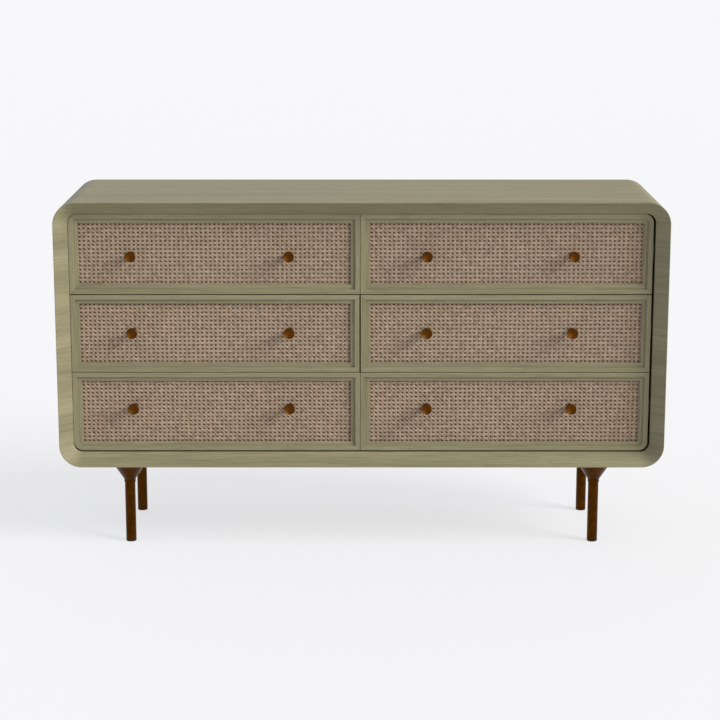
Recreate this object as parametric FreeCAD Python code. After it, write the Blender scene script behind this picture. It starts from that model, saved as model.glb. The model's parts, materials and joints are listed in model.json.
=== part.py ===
"""Six-drawer dresser: a rounded oak case on four metal legs, with inset drawers on ball-bearing slides.

Millimetres. +Z is up, the front faces -Y, and the origin is on the floor, under the middle of the case.
Each piece of the dresser is written to parts/NAME.step.
"""
import FreeCAD
import Part
import os

Vector = FreeCAD.Vector

# ---- driving dimensions: the case
WIDTH = 1524.0
DEPTH = 447.0
HEIGHT = 890.0
LEG_HEIGHT = 217.0
WALL = 32.5                 # thickness of the top, bottom and sides
CORNER_RADIUS = 55.6        # outside radius of the four long corners
CORNER_TAIL = 10.0          # flat stretch on each end of a rounded corner block
FRONT_BEVEL = 33.0          # how far back the front edge's inward bevel runs
FRONT_LAND = 1.5            # flat rim left in front of the bevel
BACK_PANEL = 6.0
BACK_REBATE = 22.5          # how far the back panel is let into the walls
BACK_INSET = 2.0            # the back panel stands this far inside the walls' rear edge
DIVIDER = 19.0
DIVIDER_SETBACK = 2.0       # from the back of the drawer fronts to the divider

# ---- driving dimensions: the drawers
TOP_GAP = 0.8
FRONT_HEIGHTS = (201.2, 196.8, 202.0)      # top, middle and bottom row
ROW_GAPS = (2.3, 1.5)                      # below the top row and below the middle row
LEFT_GAP = 0.8
RIGHT_GAP = 5.6
SEAMS = ((-4.1, -3.1), (-5.7, -2.5), (-4.1, -3.1))   # x of the edges at the middle, row by row
LIP_PLANE = 34.0            # the fronts' outer lip stands this far behind the case's front edge
LIP = 12.0                  # flat outer lip of the moulding
STEP = 5.0                  # step down from the lip to the inner band
BAND = 10.5                 # inner band of the moulding
LOW_BANDS = (12.5, 10.5, 10.5)             # the same, below the cane, row by row
MOULDING = 12.0             # thickness of the moulding
CANE_DEPTH = 9.0            # the cane lies this far behind the lip
CANE = 1.6
CANE_TUCK = 6.0             # the cane runs this far under the inner band
FRONT_BOARD = 18.0
FIT_GAP = 0.8               # between a rounded front and the case's inside corner

SIDE_BOARD = 13.0
BOX_HEIGHT = 150.0
BOX_LIFT = 24.0             # from the bottom of the front to the bottom of the box
BOX_LENGTH = 352.0
BOX_BOTTOM = 6.0
BOTTOM_LIFT = 10.0          # the drawer bottom's groove starts this far up the sides
GROOVE = 6.0

# ---- driving dimensions: the knobs, as (x in the left drawer, x in the right drawer) and height above the case
KNOB_X = {"left": (-573.0, -181.0), "right": (163.0, 526.5)}
KNOB_Z = (536.8, 343.5, 149.5)
KNOB_FACE = 5.0             # the knob's face stands this far behind the case's front edge
KNOB_RADIUS = 13.5
KNOB_STEM = 6.5
KNOB_DISH = 4.0             # depth of the dished face
KNOB_SCREW = 2.0
KNOB_SCREW_HEAD = 4.5

# ---- driving dimensions: full-extension slides
SLIDE_LENGTH = 350.0
SLIDE_HEIGHT = 45.0
SLIDE_THICKNESS = 12.7
SLIDE_SHEET = 1.2
SLIDE_Y = -155.0            # the slides' front end
BALL_GAP = 3.3              # between one member's flange and the next, where the balls run

# ---- driving dimensions: legs
LEG_X = 595.0
LEG_INSET = 82.0            # from the case's front and back to the legs' axes
LEG_RADIUS = 13.3
LEG_WALL = 1.5
NECK_RADIUS = 14.8          # the flare's neck, which grips the tube
NECK_HEIGHT = 8.0
FLARE_RADIUS = 48.3
FLARE_HEIGHT = 51.0
LEG_PLATE = 3.0
GLIDE = 3.0                 # thickness of the foot glide's pad
GLIDE_PLUG = 14.0
BOLT_RADIUS = 4.0
BOLT_HEAD = 6.5
BOLT_HEAD_HEIGHT = 5.0
INSERT_RADIUS = 6.0
INSERT_LENGTH = 25.0
BOLT_REACH = 20.0           # how far the leg bolt runs into the bottom panel

# ---- places that follow from the driving dimensions
X = WIDTH / 2
FRONT = -DEPTH / 2
BACK = DEPTH / 2
BOTTOM = LEG_HEIGHT
TOP = HEIGHT
INNER_X = X - WALL
INNER_LOW = BOTTOM + WALL
INNER_TOP = TOP - WALL
INNER_RADIUS = CORNER_RADIUS - WALL
LIP_Y = FRONT + LIP_PLANE
BOARD_Y = LIP_Y + MOULDING
BOX_Y = BOARD_Y + FRONT_BOARD
BACK_Y = BACK - BACK_INSET - BACK_PANEL
ROWS = ("top", "middle", "bottom")
SIDES = ("left", "right")


def block(x0, x1, y0, y1, z0, z1):
    """A box between two corners."""
    return Part.makeBox(x1 - x0, y1 - y0, z1 - z0, Vector(x0, y0, z0))


def outline(x0, x1, z0, z1, radii, y):
    """A rectangle at depth y, with one radius for each corner: low left, low right, high right, high left."""
    low_left, low_right, high_right, high_left = [max(radius, 0.0) for radius in radii]
    slant = 1 - 0.5 ** 0.5
    corners = (
        (x0, z0, low_left, (0, 1), (1, 0)),
        (x1, z0, low_right, (-1, 0), (0, 1)),
        (x1, z1, high_right, (0, -1), (-1, 0)),
        (x0, z1, high_left, (1, 0), (0, -1)),
    )
    runs = []
    for cx, cz, radius, entry, leave in corners:
        start = Vector(cx + entry[0] * radius, y, cz + entry[1] * radius)
        end = Vector(cx + leave[0] * radius, y, cz + leave[1] * radius)
        middle = Vector(cx + (entry[0] + leave[0]) * radius * slant, y,
                        cz + (entry[1] + leave[1]) * radius * slant)
        runs.append((start, middle, end, radius))
    edges = []
    for index, (start, middle, end, radius) in enumerate(runs):
        if radius > 0.01:
            edges.append(Part.Arc(start, middle, end).toShape())
        following = runs[(index + 1) % 4][0]
        edges.append(Part.LineSegment(end, following).toShape())
    return Part.Wire(edges)


def slab(x0, x1, z0, z1, radii, y0, y1):
    """The outline made solid between two depths."""
    return Part.Face(outline(x0, x1, z0, z1, radii, y0)).extrude(Vector(0, y1 - y0, 0))


def case_slab(inset, y0, y1):
    """The case's own outline, moved inwards and made solid."""
    return slab(-X + inset, X - inset, BOTTOM + inset, TOP - inset, [CORNER_RADIUS - inset] * 4, y0, y1)


def case_outline(inset, y):
    """The case's own outline, moved inwards."""
    return outline(-X + inset, X - inset, BOTTOM + inset, TOP - inset, [CORNER_RADIUS - inset] * 4, y)


def case_shell():
    """The whole wall of the case: bevelled at the front, rebated at the back."""
    shell = case_slab(0, FRONT, BACK).cut(case_slab(WALL, FRONT - 1, BACK + 1))
    bevel = Part.makeLoft([case_outline(FRONT_LAND, FRONT), case_outline(WALL, FRONT + FRONT_BEVEL)], True, True)
    shell = shell.cut(bevel)
    return shell.cut(case_slab(WALL - BACK_REBATE, BACK_Y, BACK + 1))


def case_pieces():
    """The shell cut where the flat panels meet the rounded corners."""
    shell = case_shell()
    far = 50.0
    reach = CORNER_RADIUS + CORNER_TAIL
    split_x = X - reach
    split_low = BOTTOM + reach
    split_high = TOP - reach
    spans_x = {"left": (-X - far, -split_x), "middle": (-split_x, split_x), "right": (split_x, X + far)}
    spans_z = {"bottom": (BOTTOM - far, split_low), "middle": (split_low, split_high), "top": (split_high, TOP + far)}
    names = {
        ("middle", "top"): "top_panel",
        ("middle", "bottom"): "bottom_panel",
        ("left", "middle"): "left_side_panel",
        ("right", "middle"): "right_side_panel",
    }
    pieces = {}
    for across, (x0, x1) in spans_x.items():
        for up, (z0, z1) in spans_z.items():
            if (across, up) == ("middle", "middle"):
                continue
            name = names.get((across, up), "%s_%s_corner" % (up, across))
            cutter = block(x0, x1, FRONT - far, BACK + far, z0, z1)
            pieces[name] = shell.common(cutter)
    for x, y in leg_places():
        hole = Part.makeCylinder(INSERT_RADIUS, INSERT_LENGTH, Vector(x, y, BOTTOM))
        pieces["bottom_panel"] = pieces["bottom_panel"].cut(hole)
    return pieces


def back_panel():
    """Plywood back, let into the rebate."""
    return case_slab(WALL - BACK_REBATE, BACK_Y, BACK - BACK_INSET)


def centre_divider():
    """Upright board between the two columns of drawers."""
    return block(-DIVIDER / 2, DIVIDER / 2, BOX_Y + DIVIDER_SETBACK, BACK_Y, INNER_LOW, INNER_TOP)


def leg_places():
    """The legs' axes."""
    reach = DEPTH / 2 - LEG_INSET
    return [(-LEG_X, -reach), (LEG_X, -reach), (-LEG_X, reach), (LEG_X, reach)]


def turned(points, x, y, z=0.0):
    """A solid of revolution from (radius, height) points."""
    corners = [Vector(x + radius, y, z + height) for radius, height in points]
    wire = Part.makePolygon(corners + corners[:1])
    return Part.Face(wire).revolve(Vector(x, y, z), Vector(0, 0, 1), 360)


def leg(x, y):
    """Tube, and the spun flare that holds it, with the flare's top plate."""
    plate = LEG_HEIGHT - LEG_PLATE
    neck = LEG_HEIGHT - FLARE_HEIGHT
    tube = Part.makeCylinder(LEG_RADIUS, plate - GLIDE, Vector(x, y, GLIDE))
    tube = tube.cut(Part.makeCylinder(LEG_RADIUS - LEG_WALL, plate - GLIDE, Vector(x, y, GLIDE)))
    slope = (FLARE_RADIUS - NECK_RADIUS) / FLARE_HEIGHT
    inside = FLARE_RADIUS - 2 * LEG_WALL - slope * LEG_PLATE
    flare = [
        (LEG_RADIUS, neck - NECK_HEIGHT),
        (NECK_RADIUS, neck - NECK_HEIGHT),
        (NECK_RADIUS, neck),
        (FLARE_RADIUS, LEG_HEIGHT),
        (BOLT_RADIUS, LEG_HEIGHT),
        (BOLT_RADIUS, plate),
        (inside, plate),
        (LEG_RADIUS, neck + (LEG_RADIUS + 2 * LEG_WALL - NECK_RADIUS) / slope),
    ]
    return [tube, turned(flare, x, y)]


def leg_bolt(x, y):
    """M8 bolt through the leg's plate, with its head inside the flare."""
    head_low = LEG_HEIGHT - LEG_PLATE - BOLT_HEAD_HEIGHT
    head = Part.makeCylinder(BOLT_HEAD, BOLT_HEAD_HEIGHT, Vector(x, y, head_low))
    shank = Part.makeCylinder(BOLT_RADIUS, LEG_PLATE + BOLT_REACH, Vector(x, y, LEG_HEIGHT - LEG_PLATE))
    return head.fuse(shank)


def leg_insert(x, y):
    """Threaded sleeve in the bottom panel."""
    sleeve = Part.makeCylinder(INSERT_RADIUS, INSERT_LENGTH, Vector(x, y, BOTTOM))
    return sleeve.cut(Part.makeCylinder(BOLT_RADIUS, INSERT_LENGTH, Vector(x, y, BOTTOM)))


def foot_glide(x, y):
    """Pad under the tube, with a plug that fills it."""
    pad = Part.makeCylinder(LEG_RADIUS, GLIDE, Vector(x, y, 0))
    return pad.fuse(Part.makeCylinder(LEG_RADIUS - LEG_WALL, GLIDE_PLUG, Vector(x, y, GLIDE)))


def channel(face, inward, member, y0):
    """One slide member: a web and two flanges, set off from the wall it hangs on."""
    web_at = (0.0, 3.0, SLIDE_THICKNESS - SLIDE_SHEET)[member]
    flange_from = (0.0, 3.0, 6.0)[member]
    flange_to = (10.0, 11.0, SLIDE_THICKNESS)[member]
    half = SLIDE_HEIGHT / 2 - member * (BALL_GAP + SLIDE_SHEET)

    def part(a0, a1, z0, z1):
        x0, x1 = sorted((face + inward * a0, face + inward * a1))
        return block(x0, x1, y0, y0 + SLIDE_LENGTH, z0, z1)

    web = part(web_at, web_at + SLIDE_SHEET, -half, half)
    upper = part(flange_from, flange_to, half - SLIDE_SHEET, half)
    lower = part(flange_from, flange_to, -half, SLIDE_SHEET - half)
    return web.fuse([upper, lower]).removeSplitter()


def bay(side):
    """The case faces that a drawer's slides hang on."""
    if side == "left":
        return -INNER_X, -DIVIDER / 2
    return DIVIDER / 2, INNER_X


def slide_pair(side, height, member):
    """The same member of both slides of one drawer, at one height."""
    left, right = bay(side)
    pair = [channel(left, 1, member, SLIDE_Y), channel(right, -1, member, SLIDE_Y)]
    for piece in pair:
        piece.translate(Vector(0, 0, height))
    return pair


def front_edges(row, side):
    """x0, x1, z0, z1 of one drawer front."""
    high = INNER_TOP - TOP_GAP - sum(FRONT_HEIGHTS[:row]) - sum(ROW_GAPS[:row])
    low = high - FRONT_HEIGHTS[row]
    if side == "left":
        return -INNER_X + LEFT_GAP, SEAMS[row][0], low, high
    return SEAMS[row][1], INNER_X - RIGHT_GAP, low, high


def front_radii(row, side, inset=0.0):
    """Only the corners that lie in the case's own corners are rounded."""
    radius = max(INNER_RADIUS - FIT_GAP - inset, 0.0)
    spots = (("bottom", "left"), ("bottom", "right"), ("top", "right"), ("top", "left"))
    return [radius if spot == (ROWS[row], side) else 0.0 for spot in spots]


def inset_front(row, side, inset, y0, y1, low_extra=0.0):
    """The front's outline moved inwards and made solid."""
    x0, x1, z0, z1 = front_edges(row, side)
    radii = front_radii(row, side, inset)
    return slab(x0 + inset, x1 - inset, z0 + inset + low_extra, z1 - inset, radii, y0, y1)


def front_frame(row, side):
    """Moulding around the cane: two stiles and two rails, mitred at the corners."""
    low_extra = LOW_BANDS[row] - BAND
    over = 1.0
    opening = LIP + BAND
    ring = inset_front(row, side, 0, LIP_Y, BOARD_Y)
    ring = ring.cut(inset_front(row, side, LIP, LIP_Y - over, LIP_Y + STEP))
    ring = ring.cut(inset_front(row, side, opening, LIP_Y - over, BOARD_Y + over, low_extra))
    ring = ring.cut(inset_front(row, side, opening - CANE_TUCK, LIP_Y + CANE_DEPTH, BOARD_Y + over, low_extra))
    x0, x1, z0, z1 = front_edges(row, side)
    reach = 40.0
    outer = [(x0, z0), (x1, z0), (x1, z1), (x0, z1)]
    inner = [(x0 + reach, z0 + reach), (x1 - reach, z0 + reach), (x1 - reach, z1 - reach), (x0 + reach, z1 - reach)]
    pieces = []
    for index in range(4):
        after = (index + 1) % 4
        mitre = [outer[index], outer[after], inner[after], inner[index]]
        corners = [Vector(x, LIP_Y - over, z) for x, z in mitre]
        face = Part.Face(Part.makePolygon(corners + corners[:1]))
        pieces.append(ring.common(face.extrude(Vector(0, MOULDING + 2 * over, 0))))
    return pieces


def cane_panel(row, side):
    """Cane webbing, tucked under the moulding's inner band."""
    low_extra = LOW_BANDS[row] - BAND
    cane_y = LIP_Y + CANE_DEPTH
    panel = inset_front(row, side, LIP + BAND - CANE_TUCK, cane_y, cane_y + CANE, low_extra)
    for x in KNOB_X[side]:
        panel = panel.cut(rod(x, KNOB_Z[row], KNOB_STEM, cane_y - 1, cane_y + CANE + 1))
    return panel


def rod(x, height, radius, y0, y1):
    """A cylinder along Y, its height measured from the underside of the case."""
    return Part.makeCylinder(radius, y1 - y0, Vector(x, y0, BOTTOM + height), Vector(0, 1, 0))


def front_board(row, side):
    """Board behind the moulding and the cane, with the knob screws' holes and the drawer bottom's groove."""
    board = inset_front(row, side, 0, BOARD_Y, BOX_Y)
    for x in KNOB_X[side]:
        board = board.cut(rod(x, KNOB_Z[row], KNOB_SCREW, BOARD_Y - 1, BOX_Y + 1))
    return board.cut(drawer_bottom(row, side))


def box_edges(row, side):
    """x0, x1, z0, z1 of the drawer box's outside."""
    left, right = bay(side)
    low = front_edges(row, side)[2] + BOX_LIFT
    return left + SLIDE_THICKNESS, right - SLIDE_THICKNESS, low, low + BOX_HEIGHT


def drawer_bottom(row, side):
    """Plywood bottom in grooves all round."""
    x0, x1, low, high = box_edges(row, side)
    reach = SIDE_BOARD - GROOVE
    back = BOX_Y + BOX_LENGTH - reach
    return block(x0 + reach, x1 - reach, BOX_Y - GROOVE, back, low + BOTTOM_LIFT, low + BOTTOM_LIFT + BOX_BOTTOM)


def drawer_box(row, side):
    """Two sides, a back and a bottom; the front board closes the box."""
    x0, x1, low, high = box_edges(row, side)
    rear = BOX_Y + BOX_LENGTH
    bottom = drawer_bottom(row, side)
    boards = [
        block(x0, x0 + SIDE_BOARD, BOX_Y, rear, low, high),
        block(x1 - SIDE_BOARD, x1, BOX_Y, rear, low, high),
        block(x0 + SIDE_BOARD, x1 - SIDE_BOARD, rear - SIDE_BOARD, rear, low, high),
    ]
    return [board.cut(bottom) for board in boards] + [bottom]


def knob(x, height):
    """Round cup knob: a stem that opens out to a dished face."""
    face = FRONT + KNOB_FACE
    seat = BOARD_Y
    length = seat - face
    rim = 1.2
    points = [
        (KNOB_SCREW, 0),
        (KNOB_STEM, 0),
        (KNOB_STEM, length - 18.0),
        (KNOB_STEM + 2.0, length - 13.0),
        (KNOB_RADIUS - 1.5, length - 9.0),
        (KNOB_RADIUS, length - 5.0),
        (KNOB_RADIUS, length),
        (KNOB_RADIUS - rim, length),
        (KNOB_RADIUS * 0.6, length - KNOB_DISH * 0.75),
        (0, length - KNOB_DISH),
        (0, 12.0),
        (KNOB_SCREW, 12.0),
    ]
    corners = [Vector(x + radius, seat - reach, BOTTOM + height) for radius, reach in points]
    wire = Part.makePolygon(corners + corners[:1])
    return Part.Face(wire).revolve(Vector(x, seat, BOTTOM + height), Vector(0, 1, 0), 360)


def knob_screw(x, height):
    """Screw from inside the drawer into the knob's stem."""
    shank = rod(x, height, KNOB_SCREW, BOARD_Y - 12.0, BOX_Y)
    return shank.fuse(rod(x, height, KNOB_SCREW_HEAD, BOX_Y, BOX_Y + 2.5))


def knobs(row, side):
    """Both knobs of a drawer, each with its screw."""
    pieces = []
    for x in KNOB_X[side]:
        pieces.append(knob(x, KNOB_Z[row]))
        pieces.append(knob_screw(x, KNOB_Z[row]))
    return pieces


def slide_height(row, side):
    """The slides run along the middle of the drawer's sides."""
    low, high = box_edges(row, side)[2:]
    return (low + high) / 2


def drawer_pieces(row, side):
    """Every piece of one drawer, and its slides' middle members."""
    label = "%s_%s" % (ROWS[row], side)
    height = slide_height(row, side)
    return {
        "front_frame_" + label: front_frame(row, side),
        "cane_panel_" + label: [cane_panel(row, side)],
        "front_board_" + label: [front_board(row, side)],
        "drawer_box_" + label: drawer_box(row, side),
        "knobs_" + label: knobs(row, side),
        "drawer_slides_" + label: slide_pair(side, height, 2),
        "middle_slides_" + label: slide_pair(side, height, 1),
    }


def dresser():
    """Every piece by name, each as a list of solids."""
    pieces = {name: [shape] for name, shape in case_pieces().items()}
    pieces["back_panel"] = [back_panel()]
    pieces["centre_divider"] = [centre_divider()]
    leg_names = ("front_left_leg", "front_right_leg", "back_left_leg", "back_right_leg")
    for name, (x, y) in zip(leg_names, leg_places()):
        pieces[name] = leg(x, y)
    pieces["leg_bolts"] = [leg_bolt(x, y) for x, y in leg_places()]
    pieces["leg_inserts"] = [leg_insert(x, y) for x, y in leg_places()]
    pieces["foot_glides"] = [foot_glide(x, y) for x, y in leg_places()]
    pieces["case_slides"] = []
    for row in range(len(ROWS)):
        for side in SIDES:
            pieces["case_slides"] += slide_pair(side, slide_height(row, side), 0)
            pieces.update(drawer_pieces(row, side))
    return pieces


def write(pieces):
    """One STEP file for each named piece."""
    os.makedirs("parts", exist_ok=True)
    for name, solids in sorted(pieces.items()):
        for shape in solids:
            if not shape.isValid() or len(shape.Solids) != 1:
                raise ValueError("%s is not a valid single solid" % name)
        whole = solids[0] if len(solids) == 1 else Part.makeCompound(solids)
        whole.exportStep("parts/%s.step" % name)
        box = whole.BoundBox
        print("%-28s %2d  x %8.1f %8.1f  y %7.1f %7.1f  z %6.1f %6.1f" % (
            name, len(solids), box.XMin, box.XMax, box.YMin, box.YMax, box.ZMin, box.ZMax))
    print(len(pieces), "pieces")


write(dresser())
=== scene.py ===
"""Six-drawer dresser: the finished look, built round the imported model.

Metres. +Z is up, the front faces -Y, and the origin is on the floor, under the middle of the case.
"""
import json
import math
import random

import bmesh
import bpy
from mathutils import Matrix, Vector


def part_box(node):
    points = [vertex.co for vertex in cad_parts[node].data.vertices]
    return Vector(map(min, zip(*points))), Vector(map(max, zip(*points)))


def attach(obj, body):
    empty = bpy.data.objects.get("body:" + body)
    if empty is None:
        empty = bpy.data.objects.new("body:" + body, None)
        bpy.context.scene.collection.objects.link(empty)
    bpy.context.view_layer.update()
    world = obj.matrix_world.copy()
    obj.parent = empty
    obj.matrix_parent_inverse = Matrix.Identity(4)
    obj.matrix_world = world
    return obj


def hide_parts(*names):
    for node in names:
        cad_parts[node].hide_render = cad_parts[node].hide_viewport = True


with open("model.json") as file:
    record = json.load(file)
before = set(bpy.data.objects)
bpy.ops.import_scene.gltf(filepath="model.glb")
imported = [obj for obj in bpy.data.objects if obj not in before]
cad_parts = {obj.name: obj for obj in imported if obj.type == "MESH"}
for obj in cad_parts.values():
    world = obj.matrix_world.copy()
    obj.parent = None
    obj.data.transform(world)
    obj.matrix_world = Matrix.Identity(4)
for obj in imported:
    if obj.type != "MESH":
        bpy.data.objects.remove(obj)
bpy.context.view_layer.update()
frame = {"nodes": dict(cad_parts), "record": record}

bl_info = {
    "name": "Cane Front Dresser",
    "version": (1, 0, 0),
    "blender": (4, 5, 0),
    "location": "View3D > Sidebar > Dresser",
    "description": "Builds a six-drawer dresser with cane fronts round its packed frame",
    "category": "Add Mesh",
}

ROWS = ("top", "middle", "bottom")
SIDES = ("left", "right")
DRAWERS = [(row, side) for row in ROWS for side in SIDES]
NEAR = 2e-4                      # two places closer than this are the same place
GRAIN = "grain"                  # the attribute that holds each corner's place in its board


def linear(code):
    """An sRGB hex colour as linear red, green, blue and alpha."""
    shares = [int(code[i:i + 2], 16) / 255 for i in (1, 3, 5)]
    return tuple(s / 12.92 if s <= 0.04045 else ((s + 0.055) / 1.055) ** 2.4 for s in shares) + (1.0,)


def length(name, description, default):
    """A size in metres."""
    return bpy.props.FloatProperty(
        name=name, description=description, default=default, min=0.0, precision=5,
        subtype="DISTANCE", unit="LENGTH")


def colour(name, description, code):
    """A colour given as an sRGB hex value."""
    return bpy.props.FloatVectorProperty(
        name=name, description=description, default=linear(code), size=4, min=0.0, max=1.0, subtype="COLOR")


class DresserSizes(bpy.types.PropertyGroup):
    """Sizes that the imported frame's boxes don't give."""

    corner_radius: length("Corner radius", "Outside radius of the case's four long corners", 0.0556)
    front_land: length("Front land", "Flat rim in front of the inward bevel", 0.0015)
    front_bevel: length("Front bevel", "How far back the front edge's bevel runs", 0.033)
    edge_round: length("Edge round", "Softening of the case's and mouldings' edges", 0.0007)
    front_radius: length("Front radius", "Rounded corner of a front that sits in the case's corner", 0.0223)
    lip: length("Lip", "Flat outer lip of the drawer moulding", 0.012)
    step: length("Step", "Step down from the lip to the inner band", 0.005)
    band: length("Band", "Inner band of the drawer moulding", 0.0105)
    band_depth: length("Band depth", "From the lip to the moulding's rebate", 0.009)
    tuck: length("Tuck", "How far the cane runs under the inner band", 0.006)
    cane_across: length("Cane pitch across", "From one hole to the next, sideways", 0.0112)
    cane_up: length("Cane pitch up", "From one hole to the next, upwards", 0.01036)
    pair_spread: length("Pair spread", "From the middle of a pair of strands to each strand", 0.00125)
    strand_width: length("Strand width", "Width of a cane strand", 0.0025)
    strand_rise: length("Strand rise", "Height of a strand's rounded face", 0.0009)
    board: length("Board", "Thickness of the drawer box's sides and back", 0.013)
    bottom_lift: length("Bottom lift", "From the box's lower edge to its bottom", 0.010)
    bottom_board: length("Bottom board", "Thickness of the drawer bottom", 0.006)
    groove: length("Groove", "How far the drawer bottom runs into the boards", 0.006)
    board_round: length("Board round", "Softened edges of the drawer box", 0.0025)


class DresserColours(bpy.types.PropertyGroup):
    """Colours of the finishes."""

    oak: colour("Oak", "Sage-stained oak", "#7d775d")
    oak_dark: colour("Oak dark", "Open grain in the stained oak", "#645f48")
    oak_light: colour("Oak light", "Pale early wood in the stained oak", "#8e886c")
    cane: colour("Cane", "Stained cane strands", "#a28d77")
    cane_dark: colour("Cane dark", "Shaded and weathered cane", "#715f4b")
    backing: colour("Backing", "Dark stained board behind the cane", "#6b5038")
    birch: colour("Birch", "Clear-lacquered birch", "#c6ab88")
    birch_dark: colour("Birch dark", "Grain lines in birch", "#ad8f68")
    bronze: colour("Bronze", "Dark aged bronze of the legs", "#472704")
    brass: colour("Brass", "Aged brass of the knobs", "#5a340c")
    zinc: colour("Zinc", "Zinc-plated steel", "#b9bcc0")
    nylon: colour("Nylon", "Black nylon of the glides", "#1c1b1a")
    floor: colour("Floor", "Pale matt floor", "#7a7a7a")
    sky_left: colour("Left light", "Cool light from the left", "#c8dcff")
    sky_right: colour("Right light", "Warm light from above and the right", "#d8d3c8")
    floor_glow: colour("Floor glow", "Even light from the floor, as on a lit table", "#d4d4d6")


def sizes():
    return bpy.context.scene.dresser_sizes


def colours():
    return bpy.context.scene.dresser_colours


# ---- modelling by hand, in code

def only(obj=None):
    """Leave edit mode and select only this object, or nothing."""
    if bpy.context.mode != "OBJECT":
        bpy.ops.object.mode_set(mode="OBJECT")
    bpy.ops.object.select_all(action="DESELECT")
    if obj:
        obj.select_set(True)
        bpy.context.view_layer.objects.active = obj


def edit(obj):
    """Open this object alone in edit mode."""
    only(obj)
    bpy.ops.object.mode_set(mode="EDIT")


def pick(obj, kind, test):
    """In edit mode, select only the points, edges or faces that pass the test."""
    bpy.ops.mesh.select_mode(type=kind)
    bpy.ops.mesh.select_all(action="DESELECT")
    shape = bmesh.from_edit_mesh(obj.data)
    for part in {"VERT": shape.verts, "EDGE": shape.edges, "FACE": shape.faces}[kind]:
        if test(part):
            part.select_set(True)
    shape.select_flush_mode()
    bmesh.update_edit_mesh(obj.data)


def settle(obj):
    """Put the object's place, turn and size into its mesh."""
    only(obj)
    bpy.ops.object.transform_apply(location=True, rotation=True, scale=True)
    return obj


def block(name, low, high):
    """A box between two corners."""
    only()
    bpy.ops.mesh.primitive_cube_add(size=1.0, location=(low + high) / 2)
    made = bpy.context.object
    made.name = name
    made.scale = high - low
    return settle(made)


def copy_of(obj, name, move=(0, 0, 0)):
    """A copy with its own mesh, moved."""
    only(obj)
    bpy.ops.object.duplicate(linked=False)
    made = bpy.context.object
    made.name = name
    made.location = move
    return settle(made)


def remove(obj):
    only(obj)
    bpy.ops.object.delete()


def join(pieces, name):
    """Several pieces as one object."""
    only(pieces[0])
    for piece in pieces[1:]:
        piece.select_set(True)
    bpy.ops.object.join()
    made = bpy.context.object
    made.name = name
    return made


def modify(obj, kind, **settings):
    """Add a modifier with its settings, and apply it."""
    only(obj)
    modifier = obj.modifiers.new(kind.title(), kind)
    for name, value in settings.items():
        setattr(modifier, name, value)
    bpy.ops.object.modifier_apply(modifier=modifier.name)


def soften(obj, width, segments=2, angle=30):
    """Round every edge sharper than the angle."""
    modify(obj, "BEVEL", width=width, segments=segments,
           limit_method="ANGLE", angle_limit=math.radians(angle))


def smooth(obj, angle=32):
    """Smooth shading that keeps the flats flat."""
    only(obj)
    bpy.ops.object.shade_smooth_by_angle(angle=math.radians(angle))
    modify(obj, "WEIGHTED_NORMAL", keep_sharp=True)


def keep_side(obj, place, towards):
    """Cut the object by a plane, keep the side that the direction points to, and close the cut."""
    edit(obj)
    bpy.ops.mesh.select_all(action="SELECT")
    bpy.ops.mesh.bisect(
        plane_co=place, plane_no=towards, use_fill=True, clear_inner=True, clear_outer=False, threshold=1e-5)
    only(obj)


def turned(name, stations, segments=48):
    """A round piece along +Z: a disc extruded and scaled from one (radius, height) station to the next."""
    only()
    radius, height = stations[0]
    bpy.ops.mesh.primitive_circle_add(
        vertices=segments, radius=radius, fill_type="NGON", location=(0, 0, height))
    made = bpy.context.object
    made.name = name
    settle(made)
    edit(made)
    bpy.ops.mesh.select_all(action="SELECT")
    for next_radius, next_height in stations[1:]:
        bpy.ops.mesh.extrude_region_move(TRANSFORM_OT_translate={"value": (0, 0, next_height - height)})
        share = next_radius / radius
        bpy.ops.transform.resize(value=(share, share, 1), center_override=(0, 0, next_height))
        radius, height = next_radius, next_height
    bpy.ops.mesh.select_all(action="SELECT")
    bpy.ops.mesh.normals_make_consistent(inside=False)
    only(made)
    return made


def lay_grain(obj, rule):
    """Store each corner's place in its board: along the grain, across it and through it."""
    mesh = obj.data
    layer = mesh.attributes.new(GRAIN, "FLOAT_VECTOR", "CORNER")
    values = []
    for face in mesh.polygons:
        for vertex in face.vertices:
            values.extend(rule(mesh.vertices[vertex].co, face.normal))
    layer.data.foreach_set("vector", values)


def grain_along(axis, start=Vector()):
    """A rule for a straight board: the grain runs along X, Y or Z, from a start of the board's own."""
    order = {"X": (0, 2, 1), "Y": (1, 2, 0), "Z": (2, 0, 1)}[axis]

    def rule(place, _normal):
        return Vector([place[i] for i in order]) + start

    return rule


def board_start(luck):
    """Each board is cut from its own place in the log."""
    return Vector((luck.uniform(-9, 9), luck.uniform(-9, 9), luck.uniform(-9, 9)))


def finish_piece(obj, body, material, slot, *stands_for):
    """Give the piece its material, and let it ride on its body."""
    obj.data.materials.clear()
    obj.data.materials.append(material)
    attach(obj, body)
    if stands_for:
        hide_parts(*stands_for)


# ---- materials

def add_node(tree, kind, inputs=None, **settings):
    """Add one node with its settings; an input is a value, or another node's output to link."""
    made = tree.nodes.new(kind)
    for name, value in settings.items():
        setattr(made, name, value)
    for socket, value in (inputs or {}).items():
        if isinstance(value, bpy.types.NodeSocket):
            tree.links.new(value, made.inputs[socket])
        else:
            made.inputs[socket].default_value = value
    return made


def new_material(name):
    """An empty material: its tree and its main shader, joined to the output."""
    made = bpy.data.materials.new(name)
    made.use_nodes = True
    tree = made.node_tree
    tree.nodes.clear()
    shader = add_node(tree, "ShaderNodeBsdfPrincipled")
    add_node(tree, "ShaderNodeOutputMaterial", {"Surface": shader.outputs["BSDF"]})
    return made, tree, shader


def per_metre(along, across):
    """Pattern repeats for one metre, along the grain and both ways across it."""
    return (1 / along, 1 / across, 1 / across)


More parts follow.
